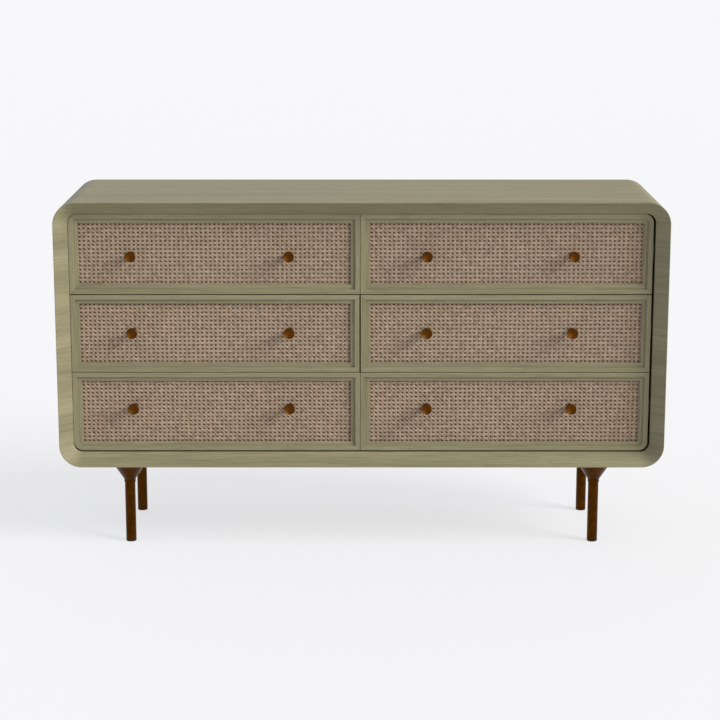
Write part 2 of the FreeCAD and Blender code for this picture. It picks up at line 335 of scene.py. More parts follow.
def wood(name, tones, grain, roughness, depth, place, figure_share=0.7):
    """Long-grained wood: tones are middle, dark and light; grain is the streaks' length and width in metres.
    Three layers make it: a wide figure, the streaks, and short open pores. A slow swirl bends all three."""
    middle, dark, light = tones
    made, tree, shader = new_material(name)
    bend = add_node(tree, "ShaderNodeMapping", {"Vector": place(tree), "Scale": per_metre(0.5, 0.09)})
    swirl = add_node(tree, "ShaderNodeTexNoise", {"Vector": bend.outputs[0], "Scale": 1.0, "Detail": 2.0})
    centred = add_node(tree, "ShaderNodeVectorMath", {0: swirl.outputs["Color"], 1: (0.5, 0.5, 0.5)},
                       operation="SUBTRACT")
    drift = add_node(tree, "ShaderNodeVectorMath", {0: centred.outputs[0], 1: (0.0, 0.02, 0.02)},
                     operation="MULTIPLY")
    bent = add_node(tree, "ShaderNodeVectorMath", {0: place(tree), 1: drift.outputs[0]}, operation="ADD")
    wide = add_node(tree, "ShaderNodeMapping", {"Vector": bent.outputs[0], "Scale": per_metre(1.1, 0.04)})
    figure = add_node(tree, "ShaderNodeTexNoise", {"Vector": wide.outputs[0], "Scale": 1.0, "Detail": 3.0})
    narrow = add_node(tree, "ShaderNodeMapping",
                      {"Vector": bent.outputs[0], "Scale": per_metre(grain[0], grain[1])})
    streaks = add_node(tree, "ShaderNodeTexNoise",
                       {"Vector": narrow.outputs[0], "Scale": 1.0, "Detail": 5.0, "Roughness": 0.62})
    fine = add_node(tree, "ShaderNodeMapping",
                    {"Vector": bent.outputs[0], "Scale": per_metre(grain[0] / 3, grain[1] / 1.6)})
    pores = add_node(tree, "ShaderNodeTexNoise", {"Vector": fine.outputs[0], "Scale": 1.0, "Detail": 2.0})
    open_pores = add_node(tree, "ShaderNodeMapRange", {
        "Value": pores.outputs["Fac"], "From Min": 0.33, "From Max": 0.45, "To Min": 1.0, "To Max": 0.0})
    calm = add_node(tree, "ShaderNodeMath", {0: figure.outputs["Fac"], 1: figure_share}, operation="MULTIPLY")
    mixed = add_node(tree, "ShaderNodeMath", {0: calm.outputs[0], 1: streaks.outputs["Fac"]}, operation="ADD")
    middle_sum = 0.5 + 0.5 * figure_share
    tone = add_node(tree, "ShaderNodeMapRange", {
        "Value": mixed.outputs[0], "From Min": middle_sum - 0.35, "From Max": middle_sum + 0.35})
    ramp = add_node(tree, "ShaderNodeValToRGB", {"Fac": tone.outputs[0]})
    ramp.color_ramp.elements[0].color = dark
    ramp.color_ramp.elements[1].color = light
    ramp.color_ramp.elements.new(0.5).color = middle
    share = add_node(tree, "ShaderNodeMath", {0: open_pores.outputs[0], 1: 0.5}, operation="MULTIPLY")
    mix = add_node(tree, "ShaderNodeMix", {0: share.outputs[0], 6: ramp.outputs["Color"], 7: dark},
                   data_type="RGBA")
    height = add_node(tree, "ShaderNodeMath", {0: streaks.outputs["Fac"], 1: open_pores.outputs[0]},
                      operation="SUBTRACT")
    bump = add_node(tree, "ShaderNodeBump",
                    {"Height": height.outputs[0], "Strength": 0.35, "Distance": depth})
    gloss = add_node(tree, "ShaderNodeMapRange", {
        "Value": streaks.outputs["Fac"], "To Min": roughness - 0.06, "To Max": roughness + 0.1})
    tree.links.new(mix.outputs[2], shader.inputs["Base Color"])
    tree.links.new(gloss.outputs[0], shader.inputs["Roughness"])
    tree.links.new(bump.outputs[0], shader.inputs["Normal"])
    shader.inputs["Specular IOR Level"].default_value = 0.15
    return made


def in_its_board(tree):
    """The place that lay_grain stored."""
    return add_node(tree, "ShaderNodeAttribute", attribute_name=GRAIN).outputs["Vector"]


def in_the_frame(tree):
    """The place in the object's own frame."""
    return add_node(tree, "ShaderNodeTexCoord").outputs["Object"]


def sage_oak():
    """Stained oak under satin lacquer: long soft streaks, open pores and a low even sheen.
    The real pores are 0.3 mm wide, too fine to show: the streaks are drawn 2 mm wide, the pores 1.3 mm."""
    c = colours()
    tones = (c.oak, c.oak_dark, c.oak_light)
    return wood("sage_stained_oak", tones, (0.14, 0.002), 0.46, 0.0002, in_its_board)


def birch():
    """Clear-lacquered birch: pale, close-grained and almost plain."""
    c = colours()
    tones = (c.birch, c.birch_dark, linear("#d5bf9f"))
    return wood("lacquered_birch", tones, (0.25, 0.004), 0.5, 0.0001, in_its_board, 0.2)


def back_plywood():
    """Thin poplar plywood, stained sage-brown and matt: broad pale grain, few pores."""
    tones = (linear("#7f7259"), linear("#6b5f48"), linear("#93866b"))
    return wood("stained_plywood", tones, (0.4, 0.006), 0.6, 0.0001, in_the_frame, 0.3)


def dark_board():
    """Dark brown stained board, matt, so that the cane's holes read dark."""
    c = colours()
    tones = (c.backing, linear("#4f3a28"), linear("#7d6247"))
    return wood("dark_stained_board", tones, (0.2, 0.003), 0.6, 0.0001, in_the_frame)


def cane():
    """Stained cane: smooth hard skin, each strand a little lighter or darker, dull gloss."""
    c = colours()
    made, tree, shader = new_material("stained_cane")
    place = in_the_frame(tree)
    patch = add_node(tree, "ShaderNodeTexNoise",
                     {"Vector": place, "Scale": 110.0, "Detail": 3.0, "Roughness": 0.6})
    fibre = add_node(tree, "ShaderNodeTexNoise", {"Vector": place, "Scale": 420.0, "Detail": 3.0})
    both = add_node(tree, "ShaderNodeMath", {0: patch.outputs["Fac"], 1: fibre.outputs["Fac"]},
                    operation="ADD")
    share = add_node(tree, "ShaderNodeMapRange", {"Value": both.outputs[0], "From Min": 0.7, "From Max": 1.2})
    ramp = add_node(tree, "ShaderNodeValToRGB", {"Fac": share.outputs[0]})
    ramp.color_ramp.elements[0].color = c.cane_dark
    ramp.color_ramp.elements[1].color = c.cane
    bump = add_node(tree, "ShaderNodeBump",
                    {"Height": fibre.outputs["Fac"], "Strength": 0.2, "Distance": 0.0002})
    tree.links.new(ramp.outputs["Color"], shader.inputs["Base Color"])
    tree.links.new(bump.outputs[0], shader.inputs["Normal"])
    shader.inputs["Roughness"].default_value = 0.5
    return made


def metal(name, tone, roughness, mottle):
    """A metal whose gloss and tone wander a little, as aged or plated metal's do."""
    made, tree, shader = new_material(name)
    place = in_the_frame(tree)
    cloud = add_node(tree, "ShaderNodeTexNoise", {"Vector": place, "Scale": 60.0, "Detail": 4.0})
    speck = add_node(tree, "ShaderNodeTexNoise", {"Vector": place, "Scale": 900.0, "Detail": 2.0})
    ramp = add_node(tree, "ShaderNodeValToRGB", {"Fac": cloud.outputs["Fac"]})
    ramp.color_ramp.elements[0].position = 0.3
    ramp.color_ramp.elements[1].position = 0.7
    ramp.color_ramp.elements[0].color = [share * (1 - mottle) for share in tone[:3]] + [1.0]
    ramp.color_ramp.elements[1].color = [min(share * (1 + mottle), 1.0) for share in tone[:3]] + [1.0]
    gloss = add_node(tree, "ShaderNodeMapRange", {
        "Value": cloud.outputs["Fac"], "From Min": 0.3, "From Max": 0.7,
        "To Min": roughness - 0.05, "To Max": roughness + 0.07})
    bump = add_node(tree, "ShaderNodeBump",
                    {"Height": speck.outputs["Fac"], "Strength": 0.08, "Distance": 0.0001})
    tree.links.new(ramp.outputs["Color"], shader.inputs["Base Color"])
    tree.links.new(gloss.outputs[0], shader.inputs["Roughness"])
    tree.links.new(bump.outputs[0], shader.inputs["Normal"])
    shader.inputs["Metallic"].default_value = 1.0
    return made


def nylon():
    """Moulded nylon: near black, with a fine even texture."""
    made, tree, shader = new_material("black_nylon")
    grit = add_node(tree, "ShaderNodeTexNoise",
                    {"Vector": in_the_frame(tree), "Scale": 1500.0, "Detail": 2.0})
    ramp = add_node(tree, "ShaderNodeValToRGB", {"Fac": grit.outputs["Fac"]})
    ramp.color_ramp.elements[0].color = linear("#121110")
    ramp.color_ramp.elements[1].color = colours().nylon
    bump = add_node(tree, "ShaderNodeBump",
                    {"Height": grit.outputs["Fac"], "Strength": 0.2, "Distance": 0.0001})
    tree.links.new(ramp.outputs["Color"], shader.inputs["Base Color"])
    tree.links.new(bump.outputs[0], shader.inputs["Normal"])
    shader.inputs["Roughness"].default_value = 0.55
    return made


MATERIALS = {}


def material(name):
    """Each material is made once, when it is first asked for."""
    makers = {
        "oak": sage_oak,
        "birch": birch,
        "dark_board": dark_board,
        "plywood": back_plywood,
        "cane": cane,
        "bronze": lambda: metal("dark_aged_bronze", colours().bronze, 0.33, 0.25),
        "brass": lambda: metal("aged_brass", colours().brass, 0.5, 0.2),
        "zinc": lambda: metal("zinc_plated_steel", colours().zinc, 0.38, 0.08),
        "nylon": nylon,
    }
    if name not in MATERIALS:
        MATERIALS[name] = makers[name]()
    return MATERIALS[name]


# ---- the case

def case_corners():
    """Lowest and highest corner of the case, without its legs."""
    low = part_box("bottom_left_corner")[0]
    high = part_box("top_right_corner")[1]
    return low, high


def case_ring():
    """The case's whole wall: rounded, hollowed, bevelled at the front and rebated at the back."""
    s = sizes()
    low, high = case_corners()
    wall = high.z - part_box("top_panel")[0].z
    back_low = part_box("back_panel")[0]
    rebate_wall = back_low.x - low.x
    ring = block("case_ring", low, high)
    edit(ring)
    pick(ring, "EDGE", lambda e: abs(e.verts[0].co.y - e.verts[1].co.y) > NEAR)
    bpy.ops.mesh.bevel(offset=s.corner_radius, segments=24, affect="EDGES")
    pick(ring, "FACE", lambda f: f.normal.y < -0.9)
    bpy.ops.mesh.inset(thickness=s.front_land)
    bpy.ops.mesh.inset(thickness=wall - s.front_land)
    bpy.ops.transform.translate(value=(0, s.front_bevel, 0))
    depth = back_low.y - low.y - s.front_bevel
    bpy.ops.mesh.extrude_region_move(TRANSFORM_OT_translate={"value": (0, depth, 0)})
    bpy.ops.mesh.delete(type="ONLY_FACE")
    pick(ring, "FACE", lambda f: f.normal.y > 0.9 and f.calc_center_median().y > high.y - NEAR)
    bpy.ops.mesh.inset(thickness=rebate_wall)
    bpy.ops.mesh.extrude_region_move(TRANSFORM_OT_translate={"value": (0, back_low.y - high.y, 0)})
    bpy.ops.mesh.inset(thickness=wall - rebate_wall)
    bpy.ops.mesh.delete(type="ONLY_FACE")
    bpy.ops.mesh.select_all(action="SELECT")
    bpy.ops.mesh.remove_doubles(threshold=5e-5)
    bpy.ops.mesh.normals_make_consistent(inside=False)
    only(ring)
    soften(ring, s.edge_round)
    return ring


def round_the_case(place, _normal):
    """Grain laid round the case like one bent sheet, from the middle of the top down both sides."""
    low, high = case_corners()
    radius = sizes().corner_radius
    flat = high.x - radius
    quarter = radius * math.pi / 2
    x, z = abs(place.x), place.z
    if x > flat and z > high.z - radius:
        turn = math.atan2(x - flat, z - (high.z - radius))
        run = flat + radius * turn
        through = radius - math.hypot(x - flat, z - (high.z - radius))
    elif x > flat and z < low.z + radius:
        turn = math.atan2(low.z + radius - z, x - flat)
        run = flat + quarter + (high.z - low.z - 2 * radius) + radius * turn
        through = radius - math.hypot(x - flat, low.z + radius - z)
    elif x > flat:
        run = flat + quarter + (high.z - radius - z)
        through = high.x - x
    else:
        run = x if z > (low.z + high.z) / 2 else 4 - x
        through = high.z - z
    return Vector((math.copysign(run, place.x), place.y, through))


def case_grain(place, normal):
    """The front edge shows grain that runs level; elsewhere it runs round the case."""
    if normal.y < -0.3:
        return Vector((place.x, place.z, 0))
    return round_the_case(place, normal)


class DRESSER_OT_case(bpy.types.Operator):
    """The case's panels and rounded corners"""

    bl_idname = "dresser.case"
    bl_label = "Case"

    def execute(self, context):
        low, high = case_corners()
        middle = (low + high) / 2
        wall = high.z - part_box("top_panel")[0].z
        ring = case_ring()
        names = ["top_panel", "bottom_panel", "left_side_panel", "right_side_panel"]
        names += ["%s_%s_corner" % (up, side) for up in ("top", "bottom") for side in SIDES]
        for name in names:
            piece = copy_of(ring, name + "_oak")
            node_low, node_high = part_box(name)
            for axis in (0, 2):
                for towards, place in ((1, node_low[axis]), (-1, node_high[axis])):
                    outer = (low if towards > 0 else high)[axis]
                    inner = (high if towards > 0 else low)[axis] - towards * wall
                    if abs(place - outer) < NEAR:
                        continue
                    cut = Vector(middle)
                    cut[axis] = middle[axis] if abs(place - inner) < NEAR else place
                    way = Vector()
                    way[axis] = towards
                    keep_side(piece, cut, way)
            lay_grain(piece, case_grain)
            smooth(piece)
            finish_piece(piece, "case", material("oak"), "stained_oak", name)
        remove(ring)
        return {"FINISHED"}


# ---- the drawer fronts

def front_slab(name, row, side):
    """A drawer front's block, with the corner rounded that sits in the case's corner."""
    low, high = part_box("front_frame_%s_%s" % (row, side))
    slab = block(name, low, high)
    if row != "middle":
        outer_x = low.x if side == "left" else high.x
        outer_z = high.z if row == "top" else low.z
        edit(slab)
        pick(slab, "EDGE", lambda e: all(
            abs(v.co.x - outer_x) < NEAR and abs(v.co.z - outer_z) < NEAR for v in e.verts))
        bpy.ops.mesh.bevel(offset=sizes().front_radius, segments=12, affect="EDGES")
    return slab


def moulding(row, side):
    """The frame round the cane: lip, step, inner band, and a rebate behind for the cane."""
    s = sizes()
    low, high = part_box("front_frame_%s_%s" % (row, side))
    cane_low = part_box("cane_panel_%s_%s" % (row, side))[0]
    raise_low = cane_low.z - low.z - (s.lip + s.band - s.tuck)

    def lift_low_edge():
        if raise_low < NEAR:
            return
        bottom = min(v.co.z for v in bmesh.from_edit_mesh(ring.data).verts if v.select)
        chosen = [v.select for v in bmesh.from_edit_mesh(ring.data).verts]
        pick(ring, "VERT", lambda v: chosen[v.index] and v.co.z < bottom + NEAR)
        bpy.ops.transform.translate(value=(0, 0, raise_low))

    def inner_face(facing, depth):
        pick(ring, "FACE", lambda f: f.normal.y * facing > 0.9
             and abs(f.calc_center_median().y - depth) < NEAR and f.calc_area() > 0.05)

    ring = front_slab("moulding", row, side)
    edit(ring)
    inner_face(-1, low.y)
    bpy.ops.mesh.inset(thickness=s.lip)
    bpy.ops.mesh.extrude_region_move(TRANSFORM_OT_translate={"value": (0, s.step, 0)})
    bpy.ops.mesh.inset(thickness=s.band)
    lift_low_edge()
    inner_face(-1, low.y + s.step)
    bpy.ops.mesh.extrude_region_move(TRANSFORM_OT_translate={"value": (0, s.band_depth - s.step, 0)})
    bpy.ops.mesh.delete(type="ONLY_FACE")
    inner_face(1, high.y)
    bpy.ops.mesh.inset(thickness=s.lip + s.band - s.tuck)
    lift_low_edge()
    inner_face(1, high.y)
    bpy.ops.mesh.extrude_region_move(TRANSFORM_OT_translate={"value": (0, low.y + s.band_depth - high.y, 0)})
    bpy.ops.mesh.inset(thickness=s.tuck)
    bpy.ops.mesh.delete(type="ONLY_FACE")
    bpy.ops.mesh.select_all(action="SELECT")
    bpy.ops.mesh.remove_doubles(threshold=4e-4)
    bpy.ops.mesh.normals_make_consistent(inside=False)
    only(ring)
    soften(ring, s.edge_round)
    return ring


def mitred(ring, row, side, luck):
    """The moulding cut into two rails and two stiles, mitred at the corners."""
    low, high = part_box("front_frame_%s_%s" % (row, side))
    middle = (low + high) / 2
    cuts = {
        "low_left": (Vector((low.x, 0, low.z)), Vector((1, 0, -1))),
        "low_right": (Vector((high.x, 0, low.z)), Vector((-1, 0, -1))),
        "high_left": (Vector((low.x, 0, high.z)), Vector((1, 0, 1))),
        "high_right": (Vector((high.x, 0, high.z)), Vector((-1, 0, 1))),
    }
    runs = {
        "low": (("low_left", 1), ("low_right", 1)),
        "high": (("high_left", 1), ("high_right", 1)),
        "left": (("low_left", -1), ("high_left", -1)),
        "right": (("low_right", -1), ("high_right", -1)),
    }
    pieces = []
    for run, mitres in runs.items():
        piece = copy_of(ring, "rail_" + run)
        if run in ("low", "high"):
            keep_side(piece, middle, (0, 0, 1 if run == "high" else -1))
        else:
            keep_side(piece, middle, (1 if run == "right" else -1, 0, 0))
        for corner, sign in mitres:
            place, way = cuts[corner]
            keep_side(piece, place, way * sign)
        lay_grain(piece, grain_along("X" if run in ("low", "high") else "Z", board_start(luck)))
        pieces.append(piece)
    return pieces


class DRESSER_OT_fronts(bpy.types.Operator):
    """The mitred mouldings of the drawer fronts"""

    bl_idname = "dresser.fronts"
    bl_label = "Front mouldings"

    def execute(self, context):
        luck = random.Random(7)
        for row, side in DRAWERS:
            ring = moulding(row, side)
            frame_piece = join(mitred(ring, row, side, luck), "moulding_%s_%s" % (row, side))
            remove(ring)
            smooth(frame_piece)
            label = "%s_%s" % (row, side)
            finish_piece(frame_piece, "drawer_" + label, material("oak"), "stained_oak",
                         "front_frame_" + label)
        return {"FINISHED"}


# ---- the cane

def strand(start, end, stops):
    """One strand across a cell, from start to end (x, z). Stops are (share of the way, lift to the front)."""
    s = sizes()
    run = Vector((end[0] - start[0], 0, end[1] - start[1]))
    radius = s.strand_width / math.sqrt(3)
    only()
    bpy.ops.mesh.primitive_cylinder_add(
        vertices=3, radius=radius, depth=run.length, end_fill_type="NOTHING", rotation=(0, 0, math.pi))
    made = settle(bpy.context.object)
    made.scale = (1, s.strand_rise / (1.5 * radius), 1)
    settle(made)
    edit(made)
    pick(made, "EDGE", lambda e: abs(e.verts[0].co.z - e.verts[1].co.z) > NEAR)
    bpy.ops.mesh.subdivide(number_cuts=len(stops) - 2)
    gaps = len(stops) - 1
    heights = [run.length * (i / gaps - 0.5) for i in range(len(stops))]
    moves = [(height, run.length * (share - 0.5) - height, lift)
             for height, (share, lift) in zip(heights, stops)]
    shape = bmesh.from_edit_mesh(made.data)
    loops = [[v.index for v in shape.verts if abs(v.co.z - height) < NEAR] for height, _, _ in moves]
    for loop, (_, shift, lift) in zip(loops, moves):
        pick(made, "VERT", lambda v: v.index in loop)
        bpy.ops.transform.translate(value=(0, -lift, shift))
    only(made)
    made.rotation_euler = (0, math.atan2(run.x, run.z), 0)
    made.location = ((start[0] + end[0]) / 2, 0, (start[1] + end[1]) / 2)
    return settle(made)


def cane_cell():
    """One cell of the weave: a hole, half of each pair of strands on its four sides, and four diagonals."""
    s = sizes()
    across, up, half = s.cane_across, s.cane_up, s.pair_spread
    sway = 0.4 * s.strand_rise
    ride_over = 0.8 * s.strand_rise
    pieces = []
    for i, x in enumerate((half, across - half)):
        first = sway if i == 0 else -sway
        stops = [(0, 0), (half / up, first), (0.5, 0), (1 - half / up, -first), (1, 0)]
        pieces.append(strand((x, 0), (x, up), stops))
    for j, z in enumerate((half, up - half)):
        first = -sway if j == 0 else sway
        stops = [(0, 0), (half / across, first), (0.5, 0), (1 - half / across, -first), (1, 0)]
        pieces.append(strand((0, z), (across, z), stops))
    low, high, left, right = (across / 2, 0), (across / 2, up), (0, up / 2), (across, up / 2)
    for start, end, lift in ((low, right, -1), (left, high, 1), (low, left, 1), (right, high, -1)):
        stops = [(0, lift * ride_over), (0.5, 0), (1, -lift * ride_over)]
        pieces.append(strand(start, end, stops))
    return join(pieces, "cane_cell")


def cane_sheet(columns, rows):
    """The cell repeated both ways, its strands joined from cell to cell and closed at the sheet's edge."""
    s = sizes()
    sheet = cane_cell()
    for count, step in ((columns, (s.cane_across, 0, 0)), (rows, (0, 0, s.cane_up))):
        modify(sheet, "ARRAY", count=count, use_relative_offset=False, use_constant_offset=True,
               constant_offset_displace=step, use_merge_vertices=True, merge_threshold=2e-5)
    edit(sheet)
    bpy.ops.mesh.select_mode(type="EDGE")
    bpy.ops.mesh.select_all(action="DESELECT")
    bpy.ops.mesh.select_non_manifold()
    bpy.ops.mesh.fill_holes(sides=3)
    bpy.ops.mesh.select_all(action="SELECT")
    bpy.ops.mesh.normals_make_consistent(inside=False)
    only(sheet)
    return sheet


class DRESSER_OT_cane(bpy.types.Operator):
    """The woven cane panels"""

    bl_idname = "dresser.cane"
    bl_label = "Cane panels"

    def execute(self, context):
        s = sizes()
        sheets = {}
        for number, (row, side) in enumerate(DRAWERS):
            label = "%s_%s" % (row, side)
            low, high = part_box("cane_panel_" + label)
            size = high - low
            columns = int(size.x / s.cane_across)
            rows = math.ceil((size.z - 2 * s.tuck) / s.cane_up)
            if (columns, rows) not in sheets:
                sheets[columns, rows] = cane_sheet(columns, rows)
            middle = (low + high) / 2
            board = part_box("front_board_" + label)[0].y
            corner = (middle.x - columns * s.cane_across / 2, (low.y + board) / 2,
                      middle.z - rows * s.cane_up / 2)
            piece = copy_of(sheets[columns, rows], "cane_" + label, corner)
            edit(piece)
            bpy.ops.mesh.select_all(action="SELECT")
            bpy.ops.transform.vertex_random(offset=0.0002, seed=number)
            only(piece)
            bpy.ops.object.shade_smooth_by_angle(angle=math.radians(62))
            finish_piece(piece, "drawer_" + label, material("cane"), "cane", "cane_panel_" + label)
        for sheet in sheets.values():
            remove(sheet)
        return {"FINISHED"}


# ---- knobs

def arc(centre, radius, first, last, steps):
    """(radius, height) points on an arc, angles in degrees from the +radius direction."""
    points = []
    for i in range(steps + 1):
        angle = math.radians(first + (last - first) * i / steps)
        points.append((centre[0] + radius * math.cos(angle), centre[1] + radius * math.sin(angle)))
    return points


KNOB_LENGTH = 0.041              # from the front board to the rim
KNOB_STEM = 0.0065
KNOB_COLLAR = 0.0012             # the stem's foot is this much wider
KNOB_RIM = 0.0135
KNOB_FLARE = 0.0095              # radius of the curve from the stem to the rim
KNOB_FLARE_START = 0.0185        # from the rim back to where the stem starts to open
KNOB_EDGE = 0.0012               # rounding of the rim
KNOB_DISH = 0.0028               # depth of the dished face
KNOB_TIP = 0.0004                # radius that closes the middle of the dish
DISH_STEPS = 8

SCREW_RADIUS = 0.002
SCREW_LENGTH = 0.03
SCREW_HEAD = 0.0045
SCREW_EDGE = 0.0012              # rounding of the head
SCREW_RECESS = 0.0016            # radius of the driver's recess


def knob_shape():
    """A cup knob along +Z: stem, flared neck, rounded rim and a dished face."""
    neck = KNOB_LENGTH - KNOB_FLARE_START
    stations = [(KNOB_STEM + KNOB_COLLAR, 0.004), (KNOB_STEM + KNOB_COLLAR, 0.0105)]
    stations += [(KNOB_STEM, 0.0112), (KNOB_STEM, neck)]
    stations += arc((KNOB_STEM + KNOB_FLARE, neck), KNOB_FLARE, 180, 118, 6)[1:]
    stations += [(KNOB_RIM - 0.0014, KNOB_LENGTH - 0.0075)]
    edge = KNOB_RIM - KNOB_EDGE
    stations += arc((edge, KNOB_LENGTH - 0.0058), KNOB_EDGE, -50, 0, 3)
    stations += arc((edge, KNOB_LENGTH - KNOB_EDGE), KNOB_EDGE, 0, 150, 6)
    inner = KNOB_RIM - 2 * KNOB_EDGE
    for i in range(1, DISH_STEPS + 1):
        share = i / DISH_STEPS
        sink = 0.0008 + KNOB_DISH * math.sin(share * math.pi / 2)
        stations.append((max(inner * (1 - share), KNOB_TIP), KNOB_LENGTH - sink))
    knob = turned("knob", stations, 56)
    knob.rotation_euler = (math.pi / 2, 0, 0)
    return settle(knob)


def screw_shape():
    """Pan-head screw along +Z, its head at the top."""
    shank = SCREW_RADIUS
    stations = [(shank - 0.0002, -SCREW_LENGTH), (shank, 0.0005 - SCREW_LENGTH), (shank, 0), (SCREW_HEAD, 0)]
    stations += arc((SCREW_HEAD - SCREW_EDGE, SCREW_EDGE), SCREW_EDGE, 0, 80, 4)
    stations += [(SCREW_RECESS, 0.0026), (SCREW_RECESS - 0.0001, 0.0012), (0.0003, 0.0011)]
    screw = turned("screw", stations, 24)
    screw.rotation_euler = (-math.pi / 2, 0, 0)
    return settle(screw)


def knob_places(row, side):
    """Where a drawer's two knobs meet its front board: the middles of the knob node's two ends."""
    low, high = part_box("knobs_%s_%s" % (row, side))
    radius = (high.z - low.z) / 2
    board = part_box("front_board_%s_%s" % (row, side))
    height = (low.z + high.z) / 2
    return [Vector((x, board[0].y, height)) for x in (low.x + radius, high.x - radius)], board[1].y


class DRESSER_OT_knobs(bpy.types.Operator):
    """The knobs and the screws that hold them"""

    bl_idname = "dresser.knobs"
    bl_label = "Knobs"

    def execute(self, context):
        knob, screw = knob_shape(), screw_shape()
        smooth(knob, 40)
        smooth(screw, 40)
        for row, side in DRAWERS:
            label = "%s_%s" % (row, side)
            seats, inside = knob_places(row, side)
            pair = [copy_of(knob, "knob_copy", seat) for seat in seats]
            piece = join(pair, "knob_pair_" + label)
            finish_piece(piece, "drawer_" + label, material("brass"), "aged_brass", "knobs_" + label)
            screws = [copy_of(screw, "screw_copy", (seat.x, inside, seat.z)) for seat in seats]
            piece = join(screws, "knob_screws_" + label)
            finish_piece(piece, "drawer_" + label, material("zinc"), "zinc_steel")
        remove(knob)
        remove(screw)
        return {"FINISHED"}


# ---- drawer boxes

class DRESSER_OT_boxes(bpy.types.Operator):
    """The drawer boxes"""

    bl_idname = "dresser.boxes"
    bl_label = "Drawer boxes"

    def execute(self, context):
        s = sizes()
        luck = random.Random(11)
        for row, side in DRAWERS:
            label = "%s_%s" % (row, side)
            low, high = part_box("drawer_box_" + label)
            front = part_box("front_board_" + label)[1].y
            inner = (Vector((low.x + s.board, front, low.z)),
                     Vector((high.x - s.board, high.y - s.board, high.z)))
            floor_low = low.z + s.bottom_lift
            boards = [
                ("Y", block("side", Vector((low.x, front, low.z)), Vector((inner[0].x, high.y, high.z)))),
                ("Y", block("side", Vector((inner[1].x, front, low.z)), high.copy())),
                ("X", block("back", Vector((inner[0].x, inner[1].y, low.z)),
                            Vector((inner[1].x, high.y, high.z)))),
            ]
            for _, board in boards:
                soften(board, s.board_round, 3)
            floor = block("floor", Vector((inner[0].x - s.groove, front - s.groove, floor_low)),
                          Vector((inner[1].x + s.groove, inner[1].y + s.groove, floor_low + s.bottom_board)))
            boards.append(("Y", floor))
            for axis, board in boards:
                lay_grain(board, grain_along(axis, board_start(luck)))
            box = join([board for _, board in boards], "box_" + label)
            smooth(box)
            finish_piece(box, "drawer_" + label, material("birch"), "birch_board", "drawer_box_" + label)
        return {"FINISHED"}


# ---- legs

def leg_middle(name):
    """The leg's axis, its height and the flare's greatest radius."""
    low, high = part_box(name)
    return (low.x + high.x) / 2, (low.y + high.y) / 2, high.z, (high.x - low.x) / 2


LEG_RADIUS = 0.0133
LEG_EDGE = 0.0008                # softened edges of the tube and the flare
NECK_RADIUS = 0.0148             # the flare's neck, which grips the tube
NECK_HEIGHT = 0.008
FLARE_HEIGHT = 0.051
PAD_RADIUS = 0.0131


def leg_shapes(height, flare):
    """The tube and the spun flare, both along +Z, with the foot at z = 0."""
    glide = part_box("front_left_leg")[0].z
    neck = height - FLARE_HEIGHT
    slope = (flare - NECK_RADIUS) / FLARE_HEIGHT
    tube_stations = [(LEG_RADIUS - LEG_EDGE, glide), (LEG_RADIUS, glide + LEG_EDGE)]
    tube_stations += [(LEG_RADIUS, height - 0.004)]
    stations = [(LEG_RADIUS, neck - NECK_HEIGHT), (NECK_RADIUS - 0.0004, neck - NECK_HEIGHT)]
    stations += [(NECK_RADIUS, neck - NECK_HEIGHT + 0.0004), (NECK_RADIUS, neck - 0.001)]
    stations += [(NECK_RADIUS + 0.0008, neck + 0.0012)]
    stations += [(NECK_RADIUS + slope * rise, neck + rise) for rise in (0.004, 0.02, 0.036, 0.0496)]
    stations += [(flare, height - LEG_EDGE), (flare - 0.0004, height)]
    return turned("tube", tube_stations, 64), turned("flare", stations, 64)


def pad_shape(top):
    """A foot glide's pad, along +Z from the floor."""
    stations = [(PAD_RADIUS - 0.0019, 0), (PAD_RADIUS - 0.0006, 0.0004)]
    stations += [(PAD_RADIUS, 0.0012), (PAD_RADIUS, top)]
    return turned("pad", stations, 48)


class DRESSER_OT_legs(bpy.types.Operator):
    """The legs, their flares and the foot glides"""

    bl_idname = "dresser.legs"
    bl_label = "Legs"

    def execute(self, context):
        names = ["%s_%s_leg" % (end, side) for end in ("front", "back") for side in SIDES]
        height, flare = leg_middle(names[0])[2:]
        tube, spun = leg_shapes(height, flare)
        smooth(tube, 40)
        smooth(spun, 28)
        pad = pad_shape(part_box(names[0])[0].z)
        smooth(pad, 40)
        pads = []
        for name in names:
            x, y = leg_middle(name)[:2]
            leg = join([copy_of(tube, "tube_copy", (x, y, 0)), copy_of(spun, "flare_copy", (x, y, 0))],
                       name + "_bronze")
            finish_piece(leg, "case", material("bronze"), "aged_bronze", name)
            pads.append(copy_of(pad, "pad_copy", (x, y, 0)))
        glides = join(pads, "glides_nylon")
        finish_piece(glides, "case", material("nylon"), "black_plastic", "foot_glides")
        for shape in (tube, spun, pad):
            remove(shape)
        return {"FINISHED"}


# ---- what stays from the frame

class DRESSER_OT_hidden(bpy.types.Operator):
    """Finishes for the slides, boards and bolts that stay as the frame has them"""

    bl_idname = "dresser.hidden"
    bl_label = "Slides and boards"

    def execute(self, context):
        finishes = {"zinc_steel": "zinc", "dark_board": "dark_board", "back_plywood": "plywood"}
        slots = {part["node"]: part["material_slot"] for part in frame["record"]["subparts"]}
        for name, node in frame["nodes"].items():
            if node.hide_render:
                continue
            node.data.materials.clear()
            node.data.materials.append(material(finishes[slots[name]]))
        return {"FINISHED"}


# ---- stage

